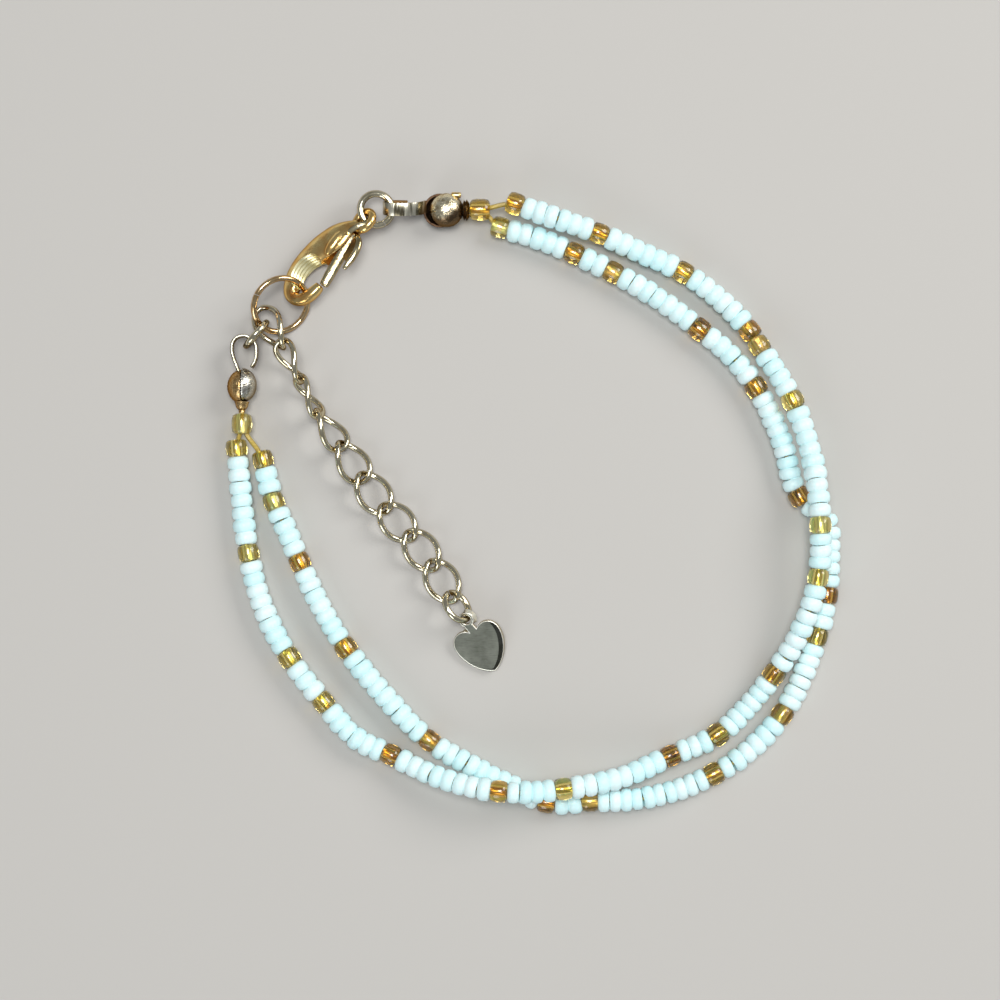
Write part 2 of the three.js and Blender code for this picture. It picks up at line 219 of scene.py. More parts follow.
# %% Values and finishes
class Value:
    """One output socket of a finish, with the operators that the finishes use."""

    def __init__(self, finish, socket):
        self.finish = finish
        self.socket = socket

    def _math(self, operation, first, second):
        return self.finish.node("ShaderNodeMath", {"operation": operation}, {0: first, 1: second})

    def __add__(self, other):
        return self._math("ADD", self, other)

    def __radd__(self, other):
        return self._math("ADD", other, self)

    def __sub__(self, other):
        return self._math("SUBTRACT", self, other)

    def __rsub__(self, other):
        return self._math("SUBTRACT", other, self)

    def __mul__(self, other):
        return self._math("MULTIPLY", self, other)

    def __rmul__(self, other):
        return self._math("MULTIPLY", other, self)


class Finish:
    """A material with a Principled surface."""

    def __init__(self, name, **surface):
        self.material = bpy.data.materials.new(name)
        self.material.use_nodes = True
        self.tree = self.material.node_tree
        self.surface = self.tree.nodes["Principled BSDF"]
        for socket, setting in surface.items():
            self.surface.inputs[socket.replace("_", " ")].default_value = setting

    def node(self, kind, settings=None, sockets=None, output=0):
        """Adds a node: its settings, then the values or links of its sockets."""
        shader_node = self.tree.nodes.new(kind)
        for setting, choice in (settings or {}).items():
            if setting == "stops":
                self.set_stops(shader_node.color_ramp, choice)
            else:
                setattr(shader_node, setting, choice)
        for socket, given in (sockets or {}).items():
            self.feed(shader_node.inputs[socket], given)
        return Value(self, shader_node.outputs[output])

    def set_stops(self, ramp, stops):
        while len(ramp.elements) < len(stops):
            ramp.elements.new(1.0)
        for element, (position, color) in zip(ramp.elements, stops):
            element.position = position
            element.color = (*color, 1.0)

    def feed(self, socket, given):
        if isinstance(given, Value):
            self.tree.links.new(given.socket, socket)
        else:
            socket.default_value = given

    def set(self, socket, given):
        self.feed(self.surface.inputs[socket], given)

    def place(self, scale=(1, 1, 1), turn=(0, 0, 0)):
        """Object coordinates in millimetres, scaled and turned for a pattern."""
        coordinates = self.node("ShaderNodeTexCoord", output="Object")
        in_mm = tuple(1000 * side for side in scale)
        return self.node(
            "ShaderNodeMapping", {}, {"Vector": coordinates, "Scale": in_mm, "Rotation": turn}
        )

    def noise(self, scale, detail=2.0, rough=0.5, at=None):
        return self.node(
            "ShaderNodeTexNoise",
            {},
            {"Vector": at or self.place(), "Scale": scale, "Detail": detail, "Roughness": rough},
            "Fac",
        )

    def soft_step(self, amount, low, high):
        """0 up to the low end, 1 from the high end, and smooth between them."""
        return self.node(
            "ShaderNodeMapRange",
            {"interpolation_type": "SMOOTHSTEP"},
            {"Value": amount, "From Min": low, "From Max": high},
        )

    def facing(self, direction, low, high):
        """0 where a surface looks away from a direction, 1 where it looks along it."""
        along = self.node(
            "ShaderNodeVectorMath", {"operation": "DOT_PRODUCT"},
            {
                0: self.node("ShaderNodeNewGeometry", output="Normal"),
                1: tuple(Vector(direction).normalized()),
            },
            "Value",
        )
        return self.soft_step(along, low, high)

    def attribute(self, name):
        return self.node("ShaderNodeAttribute", {"attribute_name": name}, output="Fac")

    def ramp(self, factor, *stops):
        return self.node("ShaderNodeValToRGB", {"stops": stops}, {"Fac": factor}, "Color")

    def mix(self, factor, first, second):
        """A mix of two colours. Its colour sockets come after those for numbers and vectors."""
        return self.node(
            "ShaderNodeMix", {"data_type": "RGBA"}, {"Factor": factor, 6: first, 7: second}, 2
        )

    def bump(self, height, distance, strength=1.0):
        normal = self.node(
            "ShaderNodeBump", {}, {"Height": height, "Distance": distance * MM, "Strength": strength}
        )
        self.set("Normal", normal)


# %% [markdown]
# ## Glass finishes
#
# The white beads are opaque glass. They look like polished chalk with a cool blue-green cast,
# and no two are quite alike, so each bead carries a number called `bead_tone`.
# The amber beads are clear, and a bright lining in the hole shows through them.

# %% White glass
def white_glass():
    """Opaque glass with a soft glow inside and a soft gloss outside."""
    finish = Finish(
        "white_glass", IOR=1.45, Coat_Weight=0.1, Coat_Roughness=0.2, Subsurface_Weight=0.25,
        Subsurface_Radius=(0.7, 0.9, 1.0), Subsurface_Scale=0.4 * MM,
    )
    tone = finish.attribute("bead_tone")
    cloud = finish.noise(0.9, 2.0)
    shade = finish.ramp(
        tone * 0.7 + cloud * 0.3,
        (0.1, (0.66, 0.955, 0.99)),
        (0.5, (0.73, 0.975, 0.998)),
        (0.9, (0.80, 0.985, 0.998)),
    )
    finish.set("Base Color", shade)
    finish.set("Roughness", 0.34 + finish.noise(3.0, 3.0) * 0.2)
    finish.bump(finish.noise(1.6, 2.0), 0.03, 0.5)
    return finish.material


# %% Amber glass and its lining
def amber_glass():
    """Clear glass whose amber is deeper in some beads and streaks than in others."""
    finish = Finish(
        "amber_glass", Roughness=0.05, IOR=1.55, Transmission_Weight=1.0, Coat_Weight=0.35,
        Coat_Roughness=0.3, Coat_IOR=1.7,
    )
    tone = finish.attribute("bead_tone")
    streak = finish.noise(0.9, 2.0)
    finish.set(
        "Base Color",
        finish.ramp(
            tone * 0.7 + streak * 0.3,
            (0.15, (0.80, 0.45, 0.07)),
            (0.5, (0.90, 0.64, 0.13)),
            (0.85, (0.95, 0.80, 0.27)),
        ),
    )
    finish.bump(finish.noise(1.6, 1.0), 0.02, 0.6)
    return finish.material


def bright_lining():
    """A silvery coat in the hole, with faint pink and green swirls."""
    finish = Finish("bright_lining", Metallic=1.0, Roughness=0.42)
    tone = finish.attribute("bead_tone")
    swirl = finish.noise(1.1, 3.0)
    finish.set(
        "Base Color",
        finish.ramp(
            tone * 0.45 + swirl * 0.65,
            (0.24, (0.12, 0.13, 0.10)),
            (0.36, (0.88, 0.98, 0.90)),
            (0.50, (1.00, 1.00, 0.96)),
            (0.60, (0.96, 0.80, 0.94)),
            (0.70, (0.86, 1.00, 0.88)),
            (0.84, (1.00, 1.00, 1.00)),
        ),
    )
    return finish.material


WHITE_GLASS = white_glass()
AMBER_GLASS = amber_glass()
BRIGHT_LINING = bright_lining()


# %% [markdown]
# ## Metal finishes
#
# The findings are plated brass: a pale champagne gold on rings and chain, and a warmer gold
# on the clasp. Plating is never flawless. Fine wear changes the roughness a little, and a
# faint waviness breaks up the reflections, which is what makes small metal look real.

# %% Plated metals
EDGE_TINT = (0.5, 0.4, 0.3, 1.0)


def plated(name, light, dark, shade_colour, roughness, wave=0.02, wear=0.08):
    """Polished and mottled, with painted shade on the sides that turn away from up."""
    finish = Finish(name, Metallic=1.0, Roughness=roughness, Specular_Tint=EDGE_TINT)
    patina = finish.noise(0.8, 3.0)
    upper_metal = finish.ramp(patina, (0.35, dark), (0.62, light))
    # Painted shade: faces turned sideways or down get the shade colour, faces turned up the metal.
    finish.set("Base Color", finish.mix(finish.facing((0, 0, 1), 0.1, 0.8), (*shade_colour, 1.0), upper_metal))
    finish.set("Roughness", roughness + finish.noise(7.0, 3.0) * wear)
    finish.bump(finish.noise(1.9, 2.0), wave, 0.6)
    return finish.material


def hammered(name, light, dark, shade_colour, lit_side, low=-0.1, high=0.75, roughness=0.13):
    """Thin stamped metal: fine dents and brown patches, with painted light and shade: faces turned to the
    lit side get the bright metal, the rest the shade colour.
    """
    finish = Finish(name, Metallic=1.0, Roughness=0.2, Specular_Tint=EDGE_TINT)
    patches = finish.noise(0.55, 3.0)
    speckle = finish.noise(2.4, 4.0, 0.65)
    upper_metal = finish.ramp(patches * 0.4 + speckle * 0.6, (0.42, dark), (0.52, light))
    # Painted light and shade: faces turned to the lit side are painted bright, the others darker.
    bright = finish.facing(lit_side, low, high)
    finish.set("Base Color", finish.mix(bright, (*shade_colour, 1.0), upper_metal))
    finish.set("Roughness", roughness + speckle * 0.26)
    finish.bump(finish.noise(2.4, 3.0, 0.6), 0.11, 0.8)
    return finish.material


def banded(name, light, dark, bands, low_colour, low_colour_to, metal_from):
    """A bent strap: tool marks lie across it, and it is darker and rougher below a height in mm."""
    finish = Finish(name, Metallic=1.0, Roughness=0.2, Specular_Tint=EDGE_TINT)
    marks = finish.noise(1.0, 2.0, 0.5, finish.place(bands))
    height = finish.node("ShaderNodeSeparateXYZ", {}, {0: finish.place()}, "Z")
    # Below a height in mm the strap takes the low colour and more roughness.
    upper_metal = finish.soft_step(height, low_colour_to, metal_from)
    metal = finish.ramp(marks, (0.42, dark), (0.54, light))
    finish.set("Base Color", finish.mix(upper_metal, (*low_colour, 1.0), metal))
    finish.set("Roughness", 0.16 + marks * 0.2 + (1.0 - upper_metal) * 0.4)
    finish.bump(marks, 0.08, 0.8)
    return finish.material


def brushed_plate(name):
    """A dull plate with fine scratches that all run one way, coloured dark grey as a painted dark
    reflection.
    """
    finish = Finish(name, Metallic=1.0, Roughness=0.3)
    scratches = finish.noise(1.0, 5.0, 0.7, finish.place((1.2, 22.0, 1.2), (0, 0, math.radians(28))))
    patches = finish.noise(0.7, 3.0)
    grain = patches * 0.5 + scratches * 0.5
    finish.set(
        "Base Color", finish.ramp(grain, (0.32, (0.12, 0.125, 0.10)), (0.66, (0.30, 0.31, 0.26)))
    )
    finish.set("Roughness", 0.28 + scratches * 0.2)
    finish.bump(scratches, 0.012, 0.6)
    return finish.material


# In each plated finish the third colour is painted shade for faces turned sideways or down. The jump
# ring's is darker, for more painted shade on its lower side.
PALE_GOLD = plated("pale_gold", (0.86, 0.80, 0.60), (0.74, 0.66, 0.46), (0.33, 0.25, 0.13), 0.10)
JUMP_GOLD = plated("jump_gold", (0.86, 0.80, 0.60), (0.60, 0.52, 0.34), (0.20, 0.15, 0.08), 0.10)
RING_GOLD = plated("ring_gold", (0.86, 0.64, 0.36), (0.72, 0.48, 0.23), (0.36, 0.19, 0.07), 0.11)
CLASP_GOLD = plated("clasp_gold", (1.0, 0.76, 0.33), (0.90, 0.54, 0.18), (0.62, 0.35, 0.10), 0.21, 0.05)
# Painted highlight: the ribbed inside of the hook gets a paler, near-white copy of the clasp gold.
RIB_GOLD = plated("rib_gold", (1.0, 0.95, 0.62), (0.90, 0.80, 0.40), (0.84, 0.72, 0.32), 0.30, 0.03)
LEVER_GOLD = plated("lever_gold", (0.92, 0.82, 0.54), (0.46, 0.37, 0.19), (0.42, 0.27, 0.10), 0.12, 0.03)
# Painted shade: the lever's web, between bar and fin, is coloured dark brown for the shade there.
WEB_SHADE = plated("web_shade", (0.52, 0.34, 0.12), (0.30, 0.18, 0.06), (0.16, 0.09, 0.03), 0.35, 0.03)
# Each hammered finish gives its painted shade colour and the lit side that is painted bright.
COVER_GOLD = hammered(
    "cover_gold", (0.96, 0.88, 0.64), (0.56, 0.42, 0.23), (0.17, 0.11, 0.06), (-0.35, 0.6, 0.6), 0.15, 0.7,
)
# Painted shade: the clasp cover's lower cup is coloured near black-brown for the shade it lies in.
CUP_SHADE = hammered(
    "cup_shade", (0.17, 0.10, 0.06), (0.07, 0.04, 0.025), (0.05, 0.03, 0.02), (0.0, 0.0, 1.0), 0.0, 0.8,
    0.45,
)
CUP_BROWN = hammered(
    "cup_brown", (0.80, 0.56, 0.26), (0.52, 0.30, 0.11), (0.36, 0.19, 0.07), (0.3, 0.2, 0.9), 0.0, 0.8,
)
CUP_SILVER = hammered(
    "cup_silver", (0.86, 0.84, 0.76), (0.50, 0.46, 0.38), (0.34, 0.29, 0.20), (0.0, 0.2, 0.9), 0.0, 0.7,
)
STRAP_LOW_COLOUR = (0.26, 0.15, 0.06)
STRAP_GOLD = banded(
    "strap_gold", (0.86, 0.82, 0.66), (0.22, 0.19, 0.12), (2.0, 0.3, 0.3), STRAP_LOW_COLOUR, 1.9, 2.5,
)
HOOK_GOLD = banded(
    "hook_gold", (0.44, 0.42, 0.33), (0.26, 0.23, 0.16), (0.3, 1.5, 0.3), STRAP_LOW_COLOUR, 0.8, 1.6,
)
# Painted dark reflection: the heart plate is coloured dark grey.
HEART_PLATE_PAINTED_DARK = brushed_plate("heart_plate")
# Painted highlight: the heart's rim is coloured near white.
RIM_PAINTED_HIGHLIGHT = plated("rim_painted_highlight", (1.0, 0.97, 0.86), (0.92, 0.88, 0.74), (0.60, 0.55, 0.42), 0.34, 0.02)
# Painted dark reflection: the facet along the heart's right side is coloured near black.
HEART_DARK_REFLECTION = plated("heart_dark_reflection", (0.07, 0.07, 0.06), (0.04, 0.04, 0.03), (0.03, 0.03, 0.02), 0.25)


# %% Thread
def thread_finish():
    """Golden thread with fine fibres."""
    finish = Finish("thread_gold", Roughness=0.35)
    fibres = finish.noise(1.0, 4.0, 0.6, finish.place((6.0, 6.0, 6.0)))
    finish.set("Base Color", finish.ramp(fibres, (0.3, (0.40, 0.28, 0.05)), (0.7, (0.70, 0.52, 0.12))))
    finish.bump(fibres, 0.02, 0.7)
    return finish.material


THREAD = thread_finish()

# %% [markdown]
# ## The routes of the two strings
#
# The strings wander: they part, come together and cross twice, and where one lies on the
# other it rises. Each row is a place on the string in millimetres. A row that ends in a
# number is an amber bead, with that many white beads after it; the other rows are bends.

# %% Routes
STRING_A = [
    (-1.6, 29.6, 2.2, 6), (2.6, 28.1, 2.4, None), (6.8, 26.7, 1.8, 6), (11.1, 24.8, 1.4, None),
    (15.2, 22.9, 1.2, 6), (18.7, 20.3, 1.2, None), (21.8, 17.0, 1.4, 0), (22.7, 15.5, 1.75, 4),
    (25.9, 10.0, 2.4, 9), (27.7, 4.6, 2.7, None), (28.2, 1.0, 3.6, None), (28.4, -2.4, 3.9, 3),
    (28.2, -7.5, 3.6, 7), (26.7, -12.4, 3.1, None), (24.0, -17.1, 1.85, 6), (21.5, -20.3, 1.25, None),
    (18.5, -23.1, 1.2, 3), (13.8, -25.2, 1.3, 8), (8.6, -27.3, 2.6, None), (3.1, -28.3, 3.5, 4),
    (-0.6, -28.6, 3.9, None), (-3.2, -28.5, 3.8, 8), (-8.6, -27.4, 2.7, None), (-13.9, -25.1, 1.35, 6),
    (-17.3, -23.5, 1.2, None), (-20.6, -19.9, 1.2, 3), (-24.0, -15.5, 1.2, 8), (-26.7, -10.3, 1.2, None),
    (-28.1, -5.1, 1.2, 7), (-28.8, 0.1, 1.2, None), (-29.3, 5.3, 1.3, 0),
]
STRING_B = [
    (-3.1, 27.4, 1.2, 5), (0.7, 26.3, 1.2, None), (4.3, 24.8, 1.2, 2), (8.2, 22.9, 1.2, 7),
    (12.5, 20.4, 1.2, None), (16.8, 17.2, 1.2, 5), (19.9, 14.6, 1.2, None), (22.4, 11.4, 1.2, 9),
    (24.9, 6.2, 1.2, None), (26.7, 0.5, 1.2, 8), (29.3, -1.8, 1.2, None), (29.6, -5.5, 1.2, None),
    (29.4, -9.3, 1.2, 2), (28.4, -13.4, 1.2, 6), (26.9, -17.4, 1.2, None), (24.9, -21.1, 1.2, 6),
    (21.8, -24.5, 1.2, None), (18.1, -27.0, 1.2, 10), (12.1, -29.2, 1.2, None), (5.8, -29.7, 1.2, 2),
    (1.5, -29.8, 1.2, 10), (-1.7, -28.3, 1.2, None), (-6.1, -26.1, 1.2, None), (-10.1, -23.7, 1.2, 9),
    (-14.5, -19.3, 1.2, None), (-18.4, -14.5, 1.2, 7), (-20.9, -10.4, 1.2, None), (-23.0, -6.0, 1.2, 4),
    (-24.2, -3.1, 1.2, None), (-25.6, 0.0, 1.2, 2), (-26.7, 4.2, 1.2, 0),
]
END_BEAD_IN_ROWS = Vector((-5.1, 29.1, 1.7))
ROWS_TO_FRAME = frame_centre("end_bead_clasp") - END_BEAD_IN_ROWS
print("rows to frame in mm:", [round(side, 3) for side in ROWS_TO_FRAME])


# %% [markdown]
# A Bezier curve with automatic handles runs smoothly through the rows, as a string does.
# Turned into a mesh, it is a line of short steps. Their running length then says where each
# bead sits.

# %% Lines to string beads on
STEPS_PER_ROW = 16


def curve_through(places, steps):
    """A smooth curve through places, with this many steps between two of them."""
    bpy.ops.curve.primitive_bezier_curve_add()
    curve = bpy.context.object
    curve.data.resolution_u = steps
    spline = curve.data.splines[0]
    spline.bezier_points.add(len(places) - 2)
    for point, place in zip(spline.bezier_points, places):
        point.co = place
        point.handle_left_type = "AUTO"
        point.handle_right_type = "AUTO"
    only(curve)
    return curve


class Line:
    """A smooth line through places, with its running length."""

    def __init__(self, places):
        carrier = curve_through(places, STEPS_PER_ROW)
        bpy.ops.object.convert(target="MESH")
        self.corners = [corner.co.copy() for corner in carrier.data.vertices]
        bpy.data.objects.remove(carrier)
        self.lengths = [0.0]
        for first, second in zip(self.corners, self.corners[1:]):
            self.lengths.append(self.lengths[-1] + (second - first).length)

    def length_at_row(self, row):
        """The running length at one of the places."""
        return self.lengths[row * STEPS_PER_ROW]

    def at(self, length):
        """The place and the direction at a running length."""
        step = 0
        while step < len(self.lengths) - 2 and self.lengths[step + 1] < length:
            step += 1
        share = (length - self.lengths[step]) / (self.lengths[step + 1] - self.lengths[step])
        first = self.corners[step]
        second = self.corners[step + 1]
        return first.lerp(second, share), (second - first).normalized()


def line_of(rows):
    """The line through a string's rows, moved to where the CAD has them."""
    return Line([Vector(row[:3]) + ROWS_TO_FRAME for row in rows])


LINE_A = line_of(STRING_A)
LINE_B = line_of(STRING_B)
print("string lengths in mm:", round(LINE_A.lengths[-1], 1), round(LINE_B.lengths[-1], 1))

# %% [markdown]
# ## The bead models
#
# Two beads are modelled and then copied. A white seed bead is a fat little ring, rounder
# than it is long. An amber bead is longer, with squarer shoulders, and its hole has a thin
# bright tube inside. Few faces are enough, because each bead is copied many times.

# %% Bead models
BEAD_SIDES = 16
WHITE_BEAD = turned(
    "white_bead",
    [(0.42, -0.40), (0.80, -0.575), (1.09, -0.37), (1.15, 0.0), (1.09, 0.37), (0.80, 0.575), (0.42, 0.40)],
    BEAD_SIDES,
)
AMBER_BEAD = turned(
    "amber_bead",
    [(0.38, -0.74), (0.72, -0.85), (1.00, -0.70), (1.10, -0.34), (1.10, 0.34), (1.00, 0.70),
     (0.72, 0.85), (0.38, 0.74)],
    BEAD_SIDES,
)
LINING = turned(
    "lining",
    [(0.32, -0.72), (0.37, -0.72), (0.37, 0.72), (0.32, 0.72)],
    BEAD_SIDES,
)
for model in (WHITE_BEAD, AMBER_BEAD, LINING):
    smooth(model, 60)
WHITE_LENGTH = 1.15
AMBER_LENGTH = 1.70


# %% [markdown]
# Each bead gets its own copy of the mesh. It is rolled, tilted and made a little thicker or
# thinner at random, because real seed beads are uneven. Between two amber beads the white
# ones share the room that is left.

# %% Stringing
LEAST_GIRTH = 0.94
MOST_GIRTH = 1.03
MOST_LEAN = 0.13
MOST_STRETCH = 1.12


def bead_copy(model, place, direction, stretch, tone, finish, lean=0.0):
    """A copy of a bead model with its own mesh, threaded along a direction."""
    mesh = model.data.copy()
    turn = direction.to_track_quat("Z", "Y").to_matrix().to_4x4()
    roll = Matrix.Rotation(random.uniform(0, math.tau), 4, "Z")
    tilt = Matrix.Rotation(lean, 4, Vector((1, random.uniform(-1, 1), 0)).normalized())
    girth = random.uniform(LEAST_GIRTH, MOST_GIRTH)
    size = Matrix.Diagonal((girth, girth * random.uniform(0.985, 1.015), stretch, 1.0))
    mesh.transform(Matrix.Translation(place) @ turn @ tilt @ roll @ size)
    tones = mesh.attributes.new("bead_tone", "FLOAT", "POINT")
    tones.data.foreach_set("value", [tone] * len(mesh.vertices))
    mesh.materials.clear()
    mesh.materials.append(finish)
    bead = bpy.data.objects.new(model.name, mesh)
    bpy.context.collection.objects.link(bead)
    return bead


def amber_pair(place, direction, stretch=1.0):
    """One amber bead and its lining."""
    tone = random.random()
    glass = bead_copy(AMBER_BEAD, place, direction, stretch, tone, AMBER_GLASS)
    lining = bead_copy(LINING, place, direction, stretch, tone, BRIGHT_LINING)
    return glass, lining


def strung(rows, line):
    """All the beads of one string: the white ones, the amber ones and the linings."""
    whites, ambers, linings = [], [], []
    amber_rows = [row for row in range(len(rows)) if rows[row][3] is not None]
    for here, row in enumerate(amber_rows):
        start = line.length_at_row(row)
        glass, lining = amber_pair(*line.at(start))
        ambers.append(glass)
        linings.append(lining)
        count = rows[row][3]
        if here + 1 == len(amber_rows) or count == 0:
            continue
        room = line.length_at_row(amber_rows[here + 1]) - start - AMBER_LENGTH
        pitch = room / count
        for number in range(count):
            along = start + AMBER_LENGTH / 2 + (number + 0.5) * pitch
            place, direction = line.at(along + random.uniform(-0.02, 0.02))
            stretch = min(pitch / WHITE_LENGTH, MOST_STRETCH) * random.uniform(0.98, 1.06)
            whites.append(bead_copy(
                WHITE_BEAD, place, direction, stretch, random.random(), WHITE_GLASS,
                random.uniform(-MOST_LEAN, MOST_LEAN),
            ))
    return whites, ambers, linings


# %% The two strings
for name, rows, line in (("a", STRING_A, LINE_A), ("b", STRING_B, LINE_B)):
    whites, ambers, linings = strung(rows, line)
    print("string", name, "has", len(whites), "white and", len(ambers), "amber beads")
    for kind, beads, nodes, slot in (
        ("white_beads_", whites, ["strand_" + name], "white_glass"),
        ("amber_beads_", ambers, [], "amber_glass"),
        ("bead_linings_", linings, [], "pale_gold"),
    ):
        finish_piece(from_bench(joined(kind + name, beads)), None, nodes)

# %% [markdown]
# ## End beads and thread
#
# Both threads leave their strings, pass through one amber bead and disappear into the knot
# cover. The thread is a thin round cord that follows the same line as the beads.

# %% Ends of the strings
BALL_BEYOND_END_BEAD = {"clasp": 3.32, "ring": 3.7}
BALL_ASIDE = {"clasp": Vector((0, -0.08, 0)), "ring": Vector((0, 0, 0))}
OUTWARD = {"clasp": Vector((-1, 0, 0)), "ring": Vector((0, 1, 0))}
BALL_RISE = 0.1
END_BEAD_STRETCH = 2.0 / AMBER_LENGTH

ends = {}
for end, outward in OUTWARD.items():
    bead = frame_centre("end_bead_" + end)
    ball = bead + outward * BALL_BEYOND_END_BEAD[end] + BALL_ASIDE[end] + Vector((0, 0, BALL_RISE))
    ends[end] = {"bead": bead, "ball": ball}
    glass, lining = amber_pair(bead, outward, END_BEAD_STRETCH)
    finish_piece(from_bench(glass), None, ["end_bead_" + end])
    glass.name = "end_bead_glass_" + end
    finish_piece(from_bench(lining), None)
    lining.name = "end_bead_lining_" + end


# %% Round wire along a line
WIRE_STEPS = 6


def wire(name, places, radius, roundness=3):
    """A round wire or thread through places, closed at both ends."""
    cord = curve_through(places, WIRE_STEPS)
    cord.name = name
    cord.data.bevel_depth = radius
    cord.data.bevel_resolution = roundness
    cord.data.use_fill_caps = True
    bpy.ops.object.convert(target="MESH")
    tidy(cord)
    smooth(cord, 60)
    return cord


# %% Threads
THREAD_RADIUS = 0.24
THREADS_APART = 0.12
SHARE_OUTSIDE_BALL = 0.4
for name, line, side in (("a", LINE_A, 1), ("b", LINE_B, -1)):
    apart = Vector((0, 0, THREADS_APART * side))
    first, last = ends["clasp"], ends["ring"]
    inner = [line.at(length)[0] for length in range(0, int(line.lengths[-1]), 2)]
    route = [
        first["ball"].lerp(first["bead"], SHARE_OUTSIDE_BALL) + apart,
        first["bead"] + apart,
        *inner,
        line.corners[-1],
        last["bead"] + apart,
        last["ball"].lerp(last["bead"], SHARE_OUTSIDE_BALL) + apart,
    ]
    thread = from_bench(wire("thread_" + name, route, THREAD_RADIUS, 1))
    finish_piece(thread, THREAD)


# %% [markdown]
# ## Rings and chain links
#
# The CAD rings and links already have the right loops, but their wire is six-sided. A copy
# of each is cleaned up and smoothed by subdivision, which makes the wire round. The jump
# rings are open rings bent shut, so a fine saw cut is made where the ends meet.

# %% Smoothed wire
WIRE_SHRINKAGE = 0.075
WIRE_LEVELS = 2
CUT_WIDTH = 0.07
CUT_REACH = 0.6
SAME_HEADING = 0.996


def extent(piece):
    """The size and the middle of a piece on the bench."""
    corners = [corner.co for corner in piece.data.vertices]
    low = Vector([min(corner[axis] for corner in corners) for axis in range(3)])
    high = Vector([max(corner[axis] for corner in corners) for axis in range(3)])
    return high - low, (low + high) / 2


def smooth_copy(node, name, extra=0.0):
    """A copy of a CAD node with round wire of the same thickness, or a little more."""
    piece = bench_copy(node, name)
    before, middle = extent(piece)
    edit(piece)
    bpy.ops.mesh.tris_convert_to_quads(face_threshold=1.0, shape_threshold=1.0)
    done()
    modifier(piece, "SUBSURF", levels=WIRE_LEVELS, render_levels=WIRE_LEVELS)
    edit(piece)
    bpy.ops.transform.shrink_fatten(value=WIRE_SHRINKAGE + extra)
    done()
    after, _ = extent(piece)
    growth = max(before) / max(after)
    piece.data.transform(
        Matrix.Translation(middle) @ Matrix.Scale(growth, 4) @ Matrix.Translation(-middle)
    )
    for face in piece.data.polygons:
        face.use_smooth = True
    return piece


def saw_cut(piece, place, along):
    """Cuts a fine gap through a wire at a place, across its run."""
    bpy.ops.mesh.primitive_cube_add(size=1)
    blade = bpy.context.object
    turn = along.to_track_quat("Z", "Y").to_matrix().to_4x4()
    size = Matrix.Diagonal((2 * CUT_REACH, 2 * CUT_REACH, CUT_WIDTH, 1.0))
    blade.data.transform(Matrix.Translation(place) @ turn @ size)
    modifier(piece, "BOOLEAN", object=blade, operation="DIFFERENCE", solver="EXACT")
    bpy.data.objects.remove(blade)
    smooth(piece, 50)


def wire_at(piece, angle):
    """The middle of the wire and its run, at an angle round the loop's own centre."""
    middle = sum((corner.co for corner in piece.data.vertices), Vector()) / len(piece.data.vertices)
    heading = Vector((math.cos(math.radians(angle)), math.sin(math.radians(angle)), 0))
    near = []
    for corner in piece.data.vertices:
        flat = (corner.co - middle).to_2d()
        if flat.length > 0 and flat.normalized().dot(heading.to_2d()) > SAME_HEADING:
            near.append(corner.co)
    place = sum(near, Vector()) / len(near)
    across = Vector((0, 0, 1)).cross(heading)
    return place, across


# %% [markdown]
# Three rings show their saw cut, at an angle in degrees. Two rings are of slightly heavier
# wire than the rest, by the growth given here in millimetres.

# %% Rings and links in place
RING_CUTS = {"fastening_ring": 160, "clasp_jump_ring": 300, "drop_ring": 120}
HEAVIER = {"fastening_ring": 0.02, "clasp_jump_ring": 0.06}
RING_FINISHES = {"fastening_ring": RING_GOLD, "clasp_jump_ring": JUMP_GOLD}
for node in ("fastening_ring", "clasp_jump_ring", "connector_ring", "drop_ring"):
    ring = smooth_copy(node, node + "_wire", HEAVIER.get(node, 0.0))
    if node in RING_CUTS:
        saw_cut(ring, *wire_at(ring, RING_CUTS[node]))
    finish_piece(from_bench(ring), RING_FINISHES.get(node, PALE_GOLD), [node])

CHAIN_LINKS = 9
for number in range(1, CHAIN_LINKS + 1):
    node = f"chain_link_{number}"
    link = smooth_copy(node, node + "_wire")
    finish_piece(from_bench(link), PALE_GOLD, [node])


# %% [markdown]
# ## The heart
#
# The heart is a stamped plate: flat faces, and an edge that the stamp left slightly rounded.
# A copy of the solid is cleaned to few large faces. Its eye is made finer, and its upper face
# is inset and lifted a little, which leaves a rim. The plate is coloured dark grey as a painted
# dark reflection, and the rim near white as a painted highlight. A facet along the right side,
# inside the rim, is coloured near black as a painted dark reflection.

# %% The heart's eye and rims
HEART_EYE_RADIUS = 1.0
HEART_EYE_REACH = 1.08
HEART_EYE_SHARE = 0.76


def shrink_eye(piece, share):
    """Makes the small eye finer, round its own middle."""
    corners = piece.data.vertices
    middle = sum((corner.co for corner in corners), Vector()) / len(corners)
    eye_top = max((corner.co for corner in corners), key=lambda place: place.y - place.x)
    inwards = (middle - eye_top).normalized()
    eye_middle = eye_top + inwards * HEART_EYE_RADIUS
    eye_middle.z = eye_top.z
    for corner in corners:
        aside = corner.co - eye_middle
        if aside.to_2d().length < HEART_EYE_RADIUS * HEART_EYE_REACH:
            corner.co.x = eye_middle.x + aside.x * share
            corner.co.y = eye_middle.y + aside.y * share


RIM_WIDTH = 0.09
RIM_RISE = 0.035
BAND_WIDTH = 0.5
BAND_FROM = -72
BAND_TO = 38
BAND_THICKNESS = 0.02
OUTSIDE_THE_EYE = 1.2
SAME_FACING = 0.98


